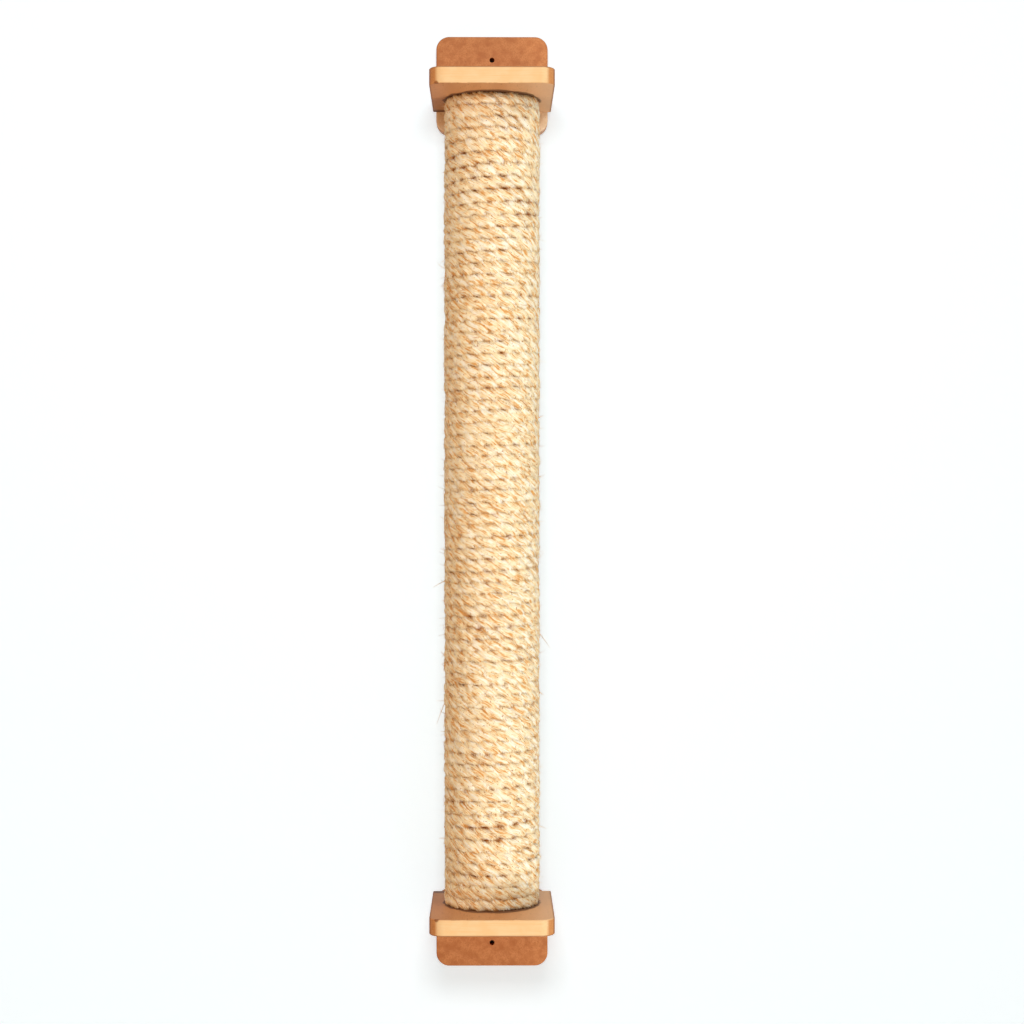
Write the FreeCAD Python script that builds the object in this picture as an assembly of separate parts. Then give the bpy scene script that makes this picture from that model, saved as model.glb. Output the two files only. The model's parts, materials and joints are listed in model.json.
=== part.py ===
import FreeCAD, Part
import math
import os

# A scratching post that hangs on a wall between two wooden brackets.
# Sizes are in millimetres. X runs across the wall, +Z is up, and the wall is the plane Y = 0, so the
# post stands out of it towards -Y. The origin lies half-way between the two wall-screw holes.

# Overall height, from the top of the upper wall plate to the foot of the lower one
overall_height = 1002.0

# Shelf boards, which carry the post's two ends
shelf_width = 127.0
shelf_depth = 150.0
shelf_thickness = 17.0
shelf_corner_radius = 15.0

# Wall plates, screwed to the shelves' rear edges
plate_width = 120.0
plate_thickness = 17.0
plate_reach = 64.0            # from the shelf's outer face to the plate's far end
upper_tongue = 23.0           # how far the upper plate runs on below its shelf
lower_tongue = 0.0            # the lower plate ends level with its shelf's upper face
plate_corner_radius = 14.0

# Hole for the wall screw in each plate
wall_hole_radius = 2.75
wall_hole_inset = 25.0        # from the plate's far end to the hole's centre

# The small chamfer that sanding leaves along the boards' edges
board_arris = 0.8

# Post: a tube with rope wound round it, turn against turn
post_axis_gap = 60.0          # from the wall plates' front faces to the post's axis
tube_radius = 38.0
tube_wall = 5.0
rope_diameter = 12.0
groove_depth = 3.0            # depth of the groove between two turns
drawn_turns = 3               # turns that are drawn at each end of the winding

# Plugs in the tube's ends
plug_length = 30.0
plug_clearance = 0.2

# Countersunk wood screws
screw_radius = 2.25
screw_head_radius = 4.5
screw_hole_clearance = 0.25
recess_width = 1.2            # the slots of the cross in the head
recess_span = 4.8
recess_depth = 1.4

# Screws that hold each plug to its shelf
plug_screw_length = 40.0
plug_screw_offset = 20.0      # sideways from the post's axis to each screw

# Screws that hold each wall plate to its shelf's rear edge
plate_screw_length = 50.0
plate_screw_offset = 35.0     # sideways from the middle to each screw

# Wire staples: a flat crown with two legs
staple_crown = 10.0
staple_wire_width = 1.2
staple_wire_thickness = 0.6

# Staples through the tube's wall into each plug, with their crowns upright and flush
tube_staple_leg = 14.0
tube_staple_count = 3

# Staple that holds each end of the rope to the post, on the side towards the wall
rope_staple_leg = 20.0
rope_staple_sink = 1.0        # how far its crown is pulled in below the rope's crest

# How far a cutting tool runs past the face it starts from
cut_overrun = 1.0

# Places and sizes that follow from the values above
plate_front_y = -plate_thickness
axis_y = plate_front_y - post_axis_gap
shelf_outer_z = overall_height / 2 - plate_reach
shelf_inner_z = shelf_outer_z - shelf_thickness
shelf_middle_z = shelf_outer_z - shelf_thickness / 2
wall_hole_z = overall_height / 2 - wall_hole_inset
post_length = 2 * shelf_inner_z
rope_turns = round(post_length / rope_diameter)
turn_pitch = post_length / rope_turns
winding_radius = tube_radius + rope_diameter
plug_radius = tube_radius - tube_wall - plug_clearance


def vector(x, y, z):
    return FreeCAD.Vector(x, y, z)


ORIGIN = vector(0, 0, 0)
X_AXIS = vector(1, 0, 0)
Y_AXIS = vector(0, 1, 0)
Z_AXIS = vector(0, 0, 1)
POST_AXIS = vector(0, axis_y, 0)


def turned_over(shape):
    """The same piece at the lower end of the post: half a turn about the Y axis."""
    copy = shape.copy()
    copy.rotate(ORIGIN, Y_AXIS, 180)
    return copy


def drilled(solid, tools):
    """The solid with each tool's shape cut out of it, and no seams left in its flat faces."""
    return solid.cut(tools).removeSplitter()


# ---- Boards ----

def board(width, length, thickness, corner_radii):
    """A flat board centred on the origin, with its outline in X and Y.

    The four corner radii go anticlockwise from the corner at -X, -Y. Zero leaves a corner square.
    """
    corners = [
        (vector(-width / 2, -length / 2, 0), Y_AXIS, X_AXIS),
        (vector(width / 2, -length / 2, 0), -X_AXIS, Y_AXIS),
        (vector(width / 2, length / 2, 0), -Y_AXIS, -X_AXIS),
        (vector(-width / 2, length / 2, 0), X_AXIS, -Y_AXIS),
    ]
    edges = []
    last_end = corners[-1][0] + corners[-1][2] * corner_radii[-1]
    for (corner, back, ahead), radius in zip(corners, corner_radii):
        start = corner + back * radius
        end = corner + ahead * radius
        edges.append(Part.makeLine(last_end, start))
        if radius > 0:
            centre = start + ahead * radius
            middle = centre - (back + ahead) * (radius / math.sqrt(2))
            edges.append(Part.Arc(start, middle, end).toShape())
        last_end = end
    solid = Part.Face(Part.Wire(edges)).extrude(vector(0, 0, thickness))
    solid.translate(vector(0, 0, -thickness / 2))
    return solid


def eased(solid, butts_at_rear=False):
    """The board with its arris chamfered round both faces, but not where its +Y side butts."""
    box = solid.BoundBox
    outline = []
    for edge in solid.Edges:
        is_upright = edge.BoundBox.ZLength > box.ZLength / 2
        at_rear = edge.BoundBox.YMin > box.YMax - board_arris
        if not is_upright and not (at_rear and butts_at_rear):
            outline.append(edge)
    return solid.makeChamfer(board_arris, outline)


def wall_plate(tongue):
    """A wall plate at the upper end, with a hole for its wall screw and seats for what joins it."""
    top = overall_height / 2
    foot = shelf_inner_z - tongue
    plate = eased(board(plate_width, top - foot, plate_thickness, [plate_corner_radius] * 4))
    plate.rotate(ORIGIN, X_AXIS, 90)
    plate.translate(vector(0, -plate_thickness / 2, (top + foot) / 2))
    wall_hole = Part.makeCylinder(
        wall_hole_radius, plate_thickness + 2 * cut_overrun,
        vector(0, cut_overrun, wall_hole_z), -Y_AXIS)
    return drilled(plate, [wall_hole] + plate_screw_seats())


def shelf_plate():
    """The shelf at the upper end: rounded at the front, square where it butts on the wall plate."""
    radii = [shelf_corner_radius, shelf_corner_radius, 0, 0]
    shelf = eased(board(shelf_width, shelf_depth, shelf_thickness, radii), butts_at_rear=True)
    shelf.translate(vector(0, plate_front_y - shelf_depth / 2, shelf_middle_z))
    return drilled(shelf, plug_screw_seats() + plate_screw_seats())


# ---- Fasteners: each is made pointing down from the origin, then moved to its place ----

def turned(profile):
    """A solid of revolution about Z from (radius, z) points that start and end on the axis."""
    points = [vector(radius, 0, z) for radius, z in profile]
    face = Part.Face(Part.makePolygon(points + [points[0]]))
    return face.revolve(ORIGIN, Z_AXIS, 360)


def aimed(shape, head, direction):
    """A fastener or its hole with its head moved to a point and its tip turned to a direction."""
    copy = shape.copy()
    copy.Placement = FreeCAD.Placement(head, FreeCAD.Rotation(-Z_AXIS, direction))
    return copy


def screw(length):
    """A countersunk screw with a cross in its head. Its thread and point are left plain."""
    blank = turned([
        (0, 0),
        (screw_head_radius, 0),
        (screw_radius, screw_radius - screw_head_radius),
        (screw_radius, -length),
        (0, -length),
    ])
    slots = []
    for width, span in ((recess_width, recess_span), (recess_span, recess_width)):
        slot = Part.makeBox(width, span, recess_depth + cut_overrun)
        slot.translate(vector(-width / 2, -span / 2, -recess_depth))
        slots.append(slot)
    return blank.cut(slots[0].fuse(slots[1]))


def screw_seat(length, passed):
    """The hole for a screw: a countersink, a clearance hole through the first board and then its bite."""
    hole_radius = screw_radius + screw_hole_clearance
    return turned([
        (0, cut_overrun),
        (screw_head_radius, cut_overrun),
        (screw_head_radius, 0),
        (hole_radius, hole_radius - screw_head_radius),
        (hole_radius, -passed),
        (screw_radius, -passed),
        (screw_radius, -length),
        (0, -length),
    ])


def at_plug_screws(shape):
    return [aimed(shape, vector(x, axis_y, shelf_outer_z), -Z_AXIS)
            for x in (-plug_screw_offset, plug_screw_offset)]


def at_plate_screws(shape):
    return [aimed(shape, vector(x, 0, shelf_middle_z), -Y_AXIS)
            for x in (-plate_screw_offset, plate_screw_offset)]


def plug_screw_seats():
    return at_plug_screws(screw_seat(plug_screw_length, shelf_thickness))


def plate_screw_seats():
    return at_plate_screws(screw_seat(plate_screw_length, plate_thickness))


def plug_screws():
    return Part.makeCompound(at_plug_screws(screw(plug_screw_length)))


def plate_screws():
    return Part.makeCompound(at_plate_screws(screw(plate_screw_length)))


def staple(leg, overrun):
    """A staple with its crown along X, or with an overrun the room that it takes once driven in."""
    outer = staple_crown / 2
    inner = outer - staple_wire_thickness
    points = [
        vector(-outer, 0, overrun),
        vector(outer, 0, overrun),
        vector(outer, 0, -leg),
        vector(inner, 0, -leg),
        vector(inner, 0, -staple_wire_thickness),
        vector(-inner, 0, -staple_wire_thickness),
        vector(-inner, 0, -leg),
        vector(-outer, 0, -leg),
    ]
    side = Part.Face(Part.makePolygon(points + [points[0]]))
    side.translate(vector(0, -staple_wire_width / 2, 0))
    return side.extrude(vector(0, staple_wire_width, 0))


def tube_staples(overrun=0):
    """Staples round the tube at the middle of the plug, sunk flush. 90 degrees faces the wall."""
    upright = staple(tube_staple_leg, overrun)
    upright.rotate(ORIGIN, Z_AXIS, 90)
    flush_radius = math.sqrt(tube_radius ** 2 - (staple_wire_width / 2) ** 2)
    head = POST_AXIS + vector(0, flush_radius, shelf_inner_z - plug_length / 2)
    facing_wall = aimed(upright, head, -Y_AXIS)
    staples = []
    for index in range(tube_staple_count):
        copy = facing_wall.copy()
        copy.rotate(POST_AXIS, Z_AXIS, 360 / tube_staple_count * index)
        staples.append(copy)
    return Part.makeCompound(staples)


def rope_staple(overrun=0):
    """In the middle of the last turn, facing the wall, with its crown along the rope."""
    crown_radius = winding_radius - rope_staple_sink
    head = POST_AXIS + vector(0, crown_radius, shelf_inner_z - turn_pitch / 2)
    return aimed(staple(rope_staple_leg, overrun), head, -Y_AXIS)


def staple_holes():
    return [tube_staples(cut_overrun), rope_staple(rope_staple_sink + cut_overrun)]


# ---- Post ----

def both_ends(shapes):
    return shapes + [turned_over(shape) for shape in shapes]


def end_plug():
    """The wooden disc in the tube's upper end."""
    top = POST_AXIS + vector(0, 0, shelf_inner_z)
    plug = Part.makeCylinder(plug_radius, plug_length, top, -Z_AXIS)
    return drilled(plug, plug_screw_seats() + staple_holes())


def core_tube():
    """The tube, from shelf to shelf, with the staples' holes at both ends."""
    foot = POST_AXIS - vector(0, 0, post_length / 2)
    tube = Part.makeCylinder(tube_radius, post_length, foot)
    bore = Part.makeCylinder(
        tube_radius - tube_wall, post_length + 2 * cut_overrun, foot - Z_AXIS * cut_overrun)
    return drilled(tube, [bore] + both_ends(staple_holes()))


def rope_winding():
    """The wound rope: a sleeve on the tube, with a ridge for each turn near its ends.

    As on a drawing of a long spring, the turns are drawn at the two ends only. Between them the
    sleeve is plain, at a radius half-way between the turns' crests and grooves.
    """
    foot_z = -post_length / 2
    groove_radius = winding_radius - groove_depth
    plain_radius = winding_radius - groove_depth / 2
    lower_turns = range(drawn_turns)
    upper_turns = range(rope_turns - drawn_turns, rope_turns)
    profile = [(tube_radius, foot_z)]
    for turns in (lower_turns, upper_turns):
        start_z = foot_z + turns[0] * turn_pitch
        profile.append((groove_radius, start_z))
        for turn in turns:
            turn_foot_z = foot_z + turn * turn_pitch
            profile.append((winding_radius, turn_foot_z + turn_pitch / 2))
            profile.append((groove_radius, turn_foot_z + turn_pitch))
        if turns is lower_turns:
            profile.append((plain_radius, turn_foot_z + turn_pitch))
            profile.append((plain_radius, foot_z + upper_turns[0] * turn_pitch))
    profile.append((tube_radius, -foot_z))
    winding = turned(profile)
    winding.translate(POST_AXIS)
    return drilled(winding, both_ends([rope_staple(rope_staple_sink + cut_overrun)]))


def all_parts():
    """Every piece by name, with the lower end's pieces turned over from the upper end's."""
    parts = {
        "upper_wall_plate": wall_plate(upper_tongue),
        "lower_wall_plate": turned_over(wall_plate(lower_tongue)),
        "core_tube": core_tube(),
        "rope_winding": rope_winding(),
    }
    end_pieces = {
        "shelf_plate": shelf_plate(),
        "end_plug": end_plug(),
        "plug_screws": plug_screws(),
        "plate_screws": plate_screws(),
        "tube_staples": tube_staples(),
        "rope_staple": rope_staple(),
    }
    for name, shape in end_pieces.items():
        parts["upper_" + name] = shape
        parts["lower_" + name] = turned_over(shape)
    return parts


os.makedirs("parts", exist_ok=True)
for name, shape in all_parts().items():
    shape.exportStep("parts/" + name + ".step")
    print(name, "valid" if shape.isValid() else "NOT VALID", len(shape.Solids), round(shape.Volume, 1))
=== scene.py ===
"""Looks of a wall-mounted scratching post: boards, wound rope, loose fibres, fasteners and a plain studio."""

import json
import math

import bpy
import numpy as np
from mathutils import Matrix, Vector


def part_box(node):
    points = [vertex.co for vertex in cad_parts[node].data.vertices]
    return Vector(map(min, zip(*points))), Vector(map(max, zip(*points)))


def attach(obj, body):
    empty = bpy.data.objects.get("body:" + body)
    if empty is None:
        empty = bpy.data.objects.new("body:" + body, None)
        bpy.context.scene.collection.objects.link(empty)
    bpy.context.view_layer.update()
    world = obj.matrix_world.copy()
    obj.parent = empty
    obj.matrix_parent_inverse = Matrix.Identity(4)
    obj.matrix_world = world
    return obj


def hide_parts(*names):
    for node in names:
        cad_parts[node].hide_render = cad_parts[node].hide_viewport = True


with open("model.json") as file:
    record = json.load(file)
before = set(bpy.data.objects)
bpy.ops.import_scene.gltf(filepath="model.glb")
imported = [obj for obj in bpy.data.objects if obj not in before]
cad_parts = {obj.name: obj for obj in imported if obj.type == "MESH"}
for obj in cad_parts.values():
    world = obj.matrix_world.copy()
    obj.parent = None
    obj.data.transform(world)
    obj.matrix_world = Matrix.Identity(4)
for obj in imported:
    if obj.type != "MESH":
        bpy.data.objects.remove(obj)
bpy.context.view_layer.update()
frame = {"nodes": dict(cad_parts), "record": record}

bl_info = {
    "name": "Wall-mounted scratching post",
    "version": (1, 0, 0),
    "blender": (4, 5, 0),
    "location": "3D View > Sidebar > Scratching Post",
    "description": "Dresses the post's construction with boards, wound rope, fasteners and a studio",
    "category": "Object",
}

MM = 0.001
BODY = "root"
ENDS = ("upper", "lower")

# ---- Sizes read from the construction, in metres ----

WINDING_LOW, WINDING_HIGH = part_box("rope_winding")
TUBE_LOW, TUBE_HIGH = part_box("core_tube")
SHELF_LOW, SHELF_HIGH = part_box("upper_shelf_plate")
PLATE_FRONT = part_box("upper_wall_plate")[0].y
WALL_SCREWS = next(mount for mount in frame["record"]["mounts"] if mount["name"] == "wall_screws")
HOLE_RADIUS = WALL_SCREWS["dims"]["hole_r_mm"] * MM
HOLE_HEIGHT = WALL_SCREWS["dims"]["spacing_y_mm"] / 2 * MM
AXIS_Y = (WINDING_LOW.y + WINDING_HIGH.y) / 2
WINDING_RADIUS = (WINDING_HIGH.x - WINDING_LOW.x) / 2
TUBE_RADIUS = (TUBE_HIGH.x - TUBE_LOW.x) / 2
ROPE_DIAMETER = WINDING_RADIUS - TUBE_RADIUS
ROPE_RADIUS = ROPE_DIAMETER / 2
COIL_RADIUS = TUBE_RADIUS + ROPE_RADIUS
POST_HALF = WINDING_HIGH.z
POST_TURNS = round(2 * POST_HALF / ROPE_DIAMETER)
BOARD_THICKNESS = SHELF_HIGH.z - SHELF_LOW.z
SHELF_MIDDLE = (SHELF_HIGH.z + SHELF_LOW.z) / 2


def srgb(code):
    """Linear colour of an sRGB hex code: each channel is undone by the standard's two-part curve."""
    channels = [int(code[i:i + 2], 16) / 255 for i in (1, 3, 5)]
    return tuple(c / 12.92 if c <= 0.04045 else ((c + 0.055) / 1.055) ** 2.4 for c in channels)


# ---- Settings that a user would change ----

def length(name, description, default_mm):
    """A length property, given in millimetres and kept in metres."""
    return bpy.props.FloatProperty(
        name=name, description=description, default=default_mm * MM, min=0, unit="LENGTH", precision=4)


def colour(name, description, code):
    """A colour property, given as an sRGB hex code and kept linear, with full opacity."""
    return bpy.props.FloatVectorProperty(
        name=name, description=description, default=(*srgb(code), 1.0), size=4, min=0, max=1, subtype="COLOR")


def count(name, description, default):
    """A whole number of things, at least 1."""
    return bpy.props.IntProperty(name=name, description=description, default=default, min=1)


def amount(name, description, default):
    """A plain number, at least 0."""
    return bpy.props.FloatProperty(name=name, description=description, default=default, min=0)


class RopeSettings(bpy.types.PropertyGroup):
    """Three-strand sisal rope, wound turn on turn."""

    strands_per_turn: count("Strands per turn", "Strands that show along one turn round the post", 19)
    lay_drift: amount("Lay drift", "How far the strands run ahead of or behind an even lay, in radians", 0.8)
    strand: length("Strand", "Thickness of a strand, which is pressed into its neighbours", 7.7)
    linger: amount("Linger", "How much longer a strand stays at the outer and inner side", 0.2)
    squareness: amount("Squareness", "How square the turns are pressed: 2 is round, more is squarer", 5.2)
    press: amount("Press", "How much wider a pressed turn is along the post than a free rope", 1.66)
    turn_wander: length("Turn wander", "How far a turn strays from its even place", 0.6)
    roughness_depth: length("Roughness", "Height of the lumps that fibre bundles make on a strand", 0.6)
    end_lap: length("End lap", "How far each cut end runs past its staple", 11.0)
    rings_per_lay: count("Rings per lay", "Cross-sections along one lay", 22)
    ring_sides: count("Ring sides", "Points round a strand", 10)
    pale: colour("Pale fibre", "Bleached fibre bundles", "#f7f3e2")
    straw: colour("Straw fibre", "Bundles of the fibre's own colour", "#f2e0b4")
    tan: colour("Tan fibre", "Darkest bundles", "#d99d57")
    # Painted shade with some dust, deep between the strands and the turns
    groove_shade_and_dust: colour("Groove", "Dusty fibre deep between the strands", "#9c5c24")


class FibreSettings(bpy.types.PropertyGroup):
    """Loose fibres on the rope."""

    lying: count("Lying fibres", "Fibres that lie on the rope", 9000)
    standing: count("Standing fibres", "Fibres that stand off the rope", 1500)
    frayed: count("Frayed fibres", "Fibres at each of the rope's two cut ends", 160)
    shortest: length("Shortest", "Length of the shortest loose fibre", 3.0)
    longest: length("Longest", "Length of the longest loose fibre", 12.0)
    thickness: length("Thickness", "Thickness of a loose fibre, drawn coarse enough to show", 0.6)
    pale: colour("Pale fibre", "Bleached fibres", "#fff4d2")
    brown: colour("Brown fibre", "Dull fibres", "#d59346")


class BoardSettings(bpy.types.PropertyGroup):
    """Stained fibreboard, with the shelves' front edges left bare."""

    stained: colour("Stained", "Stained face of the wall plates", "#c6844f")
    stained_dark: colour("Stained, dark", "Where the stain lies thicker", "#ad6937")
    # Painted light: the shelves' faces are painted paler than the plates', for the light they miss
    painted_light_stain: colour("Thin stain", "Faces of the shelves, where the stain lies thin", "#d49865")
    painted_light_stain_dark: colour("Thin stain, dark", "Darker clouds in the shelves' faces", "#c98c59")
    # Painted light: the plates between the shelves are painted pale where the shelves shade them
    strip: colour("Strip", "Plates between the shelves, where the stain was nearly wiped off", "#fce2c3")
    strip_dark: colour("Strip, dark", "Darker clouds in that strip", "#eec9a0")
    fleck: colour("Fleck", "Dark fibre flecks in the faces", "#8a5024")
    # Painted contact shade round the post and at the left seam with the wall plate
    contact_shade: colour("Gathered stain", "Where stain has gathered at the joints", "#4a2812")
    bare: colour("Bare edge", "Sanded front edge", "#e4c493")
    bare_dark: colour("Bare edge, dark", "Layers in the sanded edge", "#e4b377")
    # Partly stain and partly painted shade, where the shelves' corners turn from the light
    corner_stain_and_shade: colour("Corner", "Stained corners and sides of the shelves", "#d69a5c")
    # Partly scuffing and partly a painted highlight along the shelves' arris
    wear_and_highlight: colour("Wear", "Rubbed arris along the shelves' edges", "#efc793")
    cloud: length("Cloud", "Size of the clouds in the faces", 9.0)
    fleck_size: length("Fleck size", "Width of a fibre fleck, drawn coarse enough to show", 1.1)


class CoreSettings(bpy.types.PropertyGroup):
    """Paper tube and softwood plugs inside the winding."""

    paper: colour("Paper", "Kraft paper", "#b58a5c")
    paper_dark: colour("Paper, dark", "Fibres and the overlap of the paper strip", "#8f6840")
    paper_strip: length("Strip", "Width of the paper strip that the tube is wound from", 95.0)
    early_wood: colour("Early wood", "Pale part of each year ring", "#e3c590")
    late_wood: colour("Late wood", "Dark part of each year ring", "#b98a4f")
    year_ring: length("Year ring", "Width of a year ring", 3.2)


class SteelSettings(bpy.types.PropertyGroup):
    """Zinc-plated screws and galvanised staples."""

    zinc: colour("Zinc", "Bright zinc plating", "#c9ccd1")
    zinc_dull: colour("Zinc, dull", "Dull patches in the plating", "#a9acb2")
    wire: colour("Wire", "Galvanised wire", "#b4b6b5")
    wire_dull: colour("Wire, dull", "Dull patches on the wire", "#969897")
    spangle: length("Spangle", "Size of the patches in the plating", 1.4)


class StageSettings(bpy.types.PropertyGroup):
    """Wall, floor, lamps and camera."""

    wall: colour("Wall", "Wall behind the post", "#eef8ff")
    # Painted shade: a dark disc standing for the inside of each hole
    hole_shade: colour("Pilot hole", "Dark of the hole in the wall behind each screw hole", "#191612")
    floor: colour("Floor", "Floor below the post", "#f2f2f0")
    floor_dull: colour("Floor, dull", "Grey that the floor is faintly mottled with", "#bcbcbc")
    wall_glow: amount("Wall glow", "Part of the wall's white that no shadow takes away", 0.53)
    sky: amount("Sky", "Strength of the light from all round", 0.34)
    key: amount("Key", "Strength of the lamp high in front, in watts", 14.0)
    upper_side: amount("Upper side", "Strength of the upper lamp at the front right, in watts", 10.5)
    lower_side: amount("Lower side", "Strength of the lower lamp at the front right, in watts", 17.0)
    warm_fill: amount("Warm fill", "Strength of the warm lamp at the front left, in watts", 14.5)
    warm: colour("Warm", "Colour of the warm lamp", "#ffb569")
    sky_tint: colour("Sky tint", "Colour of the light from all round", "#fff0da")
    camera_gap: length("Camera gap", "From the shelves' front edges to the camera", 1998.0)
    focal_length: amount("Focal length", "Lens, in millimetres on a sensor 36 mm wide", 70.0)


# ---- Nodes ----

def add(tree, kind, inputs=None, output=0, **settings):
    """Add a node with its settings, fill its inputs with values or links, and give back one output."""
    node = tree.nodes.new("ShaderNode" + kind)
    for name, value in settings.items():
        setattr(node, name, value)
    for key, value in (inputs or {}).items():
        if isinstance(value, bpy.types.NodeSocket):
            tree.links.new(value, node.inputs[key])
        else:
            node.inputs[key].default_value = value
    return node.outputs[output] if node.outputs else None


SMOOTH = {"interpolation_type": "SMOOTHSTEP"}    # a range that is eased in and out
BLEND = {"data_type": "RGBA", "output": 2}       # a mix of two colours: 0 is the share, 6 and 7 the colours


def blank_material(name):
    """A material with an empty node tree."""
    material = bpy.data.materials.new(name)
    material.use_nodes = True
    material.node_tree.nodes.clear()
    return material, material.node_tree


def mottle(tree, place, base, tone, size, between, detail=2.0, share=1.0):
    """Lay patches of a tone over a base colour, and give back the colour and the patches' noise.

    The noise has the patches' size. A patch eases in between two of its values, up to its share.
    """
    noise = add(tree, "TexNoise", {"Vector": place, "Scale": 1 / size, "Detail": detail})
    patchy = add(tree, "MapRange", {0: noise, 1: between[0], 2: between[1], 4: share}, **SMOOTH)
    return add(tree, "Mix", {0: patchy, 6: base, 7: tone}, **BLEND), noise


def finish_surface(tree, tone, noise, depth, gloss):
    """Give a material its colour, a relief of a noise's shape and a depth in metres, and its gloss."""
    relief = add(tree, "Bump", {"Distance": depth, "Height": noise})
    shader = add(tree, "BsdfPrincipled", {"Base Color": tone, "Normal": relief, **gloss})
    add(tree, "OutputMaterial", {0: shader})


# ---- Materials ----

def sisal_rope(rope):
    """Sisal, laid from three strands: coarse plant fibre whose smooth skin glints where it faces the light.

    The attribute fibre_path runs along the fibres, so bundles of pale, straw and tan fibre streak the
    strands. The attribute crest is 0 deep in the winding and 1 on its outside. Deep down the fibre is
    painted darker, a painted shade with some dust; on the outside the dust has come off.
    """
    material, tree = blank_material("sisal_laid_rope")
    place = add(tree, "TexCoord", output="Object")
    path = add(tree, "Attribute", output="Vector", attribute_name="fibre_path")
    crest = add(tree, "Attribute", output="Fac", attribute_name="crest")

    # Bundles 2.4 mm wide and 4 times as long, and fibres 0.8 mm wide, drawn coarse enough to show
    along_bundle = add(tree, "Mapping", {"Vector": path, "Scale": (1, 1, 1 / 4)})
    bundles = add(tree, "TexNoise", {"Vector": along_bundle, "Scale": 1 / (2.4 * MM), "Roughness": 0.6})
    along_fibre = add(tree, "Mapping", {"Vector": path, "Scale": (1, 1, 1 / 9)})
    streaks = add(tree, "TexNoise", {"Vector": along_fibre, "Scale": 1 / (0.8 * MM), "Detail": 3.0})
    # Patches 8 mm across where whole bundles are paler or duller
    patches = add(tree, "TexNoise", {"Vector": place, "Scale": 1 / (8 * MM)})
    fine = add(tree, "Mix", {0: 0.42, 2: bundles, 3: streaks})
    tone = add(tree, "Mix", {0: 0.18, 2: fine, 3: patches})

    to_straw = add(tree, "MapRange", {0: tone, 1: 0.39, 2: 0.50}, **SMOOTH)
    to_pale = add(tree, "MapRange", {0: tone, 1: 0.48, 2: 0.60}, **SMOOTH)
    fibre = add(tree, "Mix", {0: to_straw, 6: rope.tan, 7: rope.straw}, **BLEND)
    fibre = add(tree, "Mix", {0: to_pale, 6: fibre, 7: rope.pale}, **BLEND)
    # Painted shade with some dust: deep in the winding the fibre is painted darker
    rubbed_and_lit = add(tree, "MapRange", {0: crest, 1: 0.35, 2: 0.92}, **SMOOTH)
    shaded = add(tree, "Mix", {0: rubbed_and_lit, 6: rope.groove_shade_and_dust, 7: fibre}, **BLEND)
    # Specks of bark, about 1.5 mm long
    specked, _ = mottle(tree, path, shaded, rope.groove_shade_and_dust, 1.5 * MM, (0.66, 0.74), detail=1.0, share=0.8)
    finish_surface(tree, specked, fine, 1.0 * MM, {"Roughness": 0.5, "Specular IOR Level": 0.2})
    return material


def loose_sisal(fibres):
    """Single sisal fibres: straw-like, a little glossy, each its own shade by the attribute shade."""
    material, tree = blank_material("sisal_loose_fibre")
    shade = add(tree, "Attribute", output="Fac", attribute_name="shade")
    tone = add(tree, "Mix", {0: shade, 6: fibres.brown, 7: fibres.pale}, **BLEND)
    shader = add(tree, "BsdfPrincipled", {"Base Color": tone, "Roughness": 0.7, "Specular IOR Level": 0.3})
    add(tree, "OutputMaterial", {0: shader})
    return material


def stain(tree, place, boards, light, dark):
    """Colour of a stained fibreboard face, with soft clouds of thicker stain and fine dark flecks.

    It also gives back the noise of the flecks, which makes the face's relief.
    """
    fleck = boards.fleck_size
    face, _ = mottle(tree, place, dark, light, boards.cloud, (0.28, 0.66), detail=4.0)
    face, flecks = mottle(tree, place, face, dark, fleck, (0.40, 0.66), detail=3.0, share=0.65)
    face, _ = mottle(tree, place, face, boards.fleck, 1.7 * fleck, (0.64, 0.76), detail=1.0, share=0.45)
    return face, flecks


BOARD_GLOSS = {"Roughness": 0.6, "Specular IOR Level": 0.35}
BOARD_RELIEF = 0.12 * MM


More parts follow.
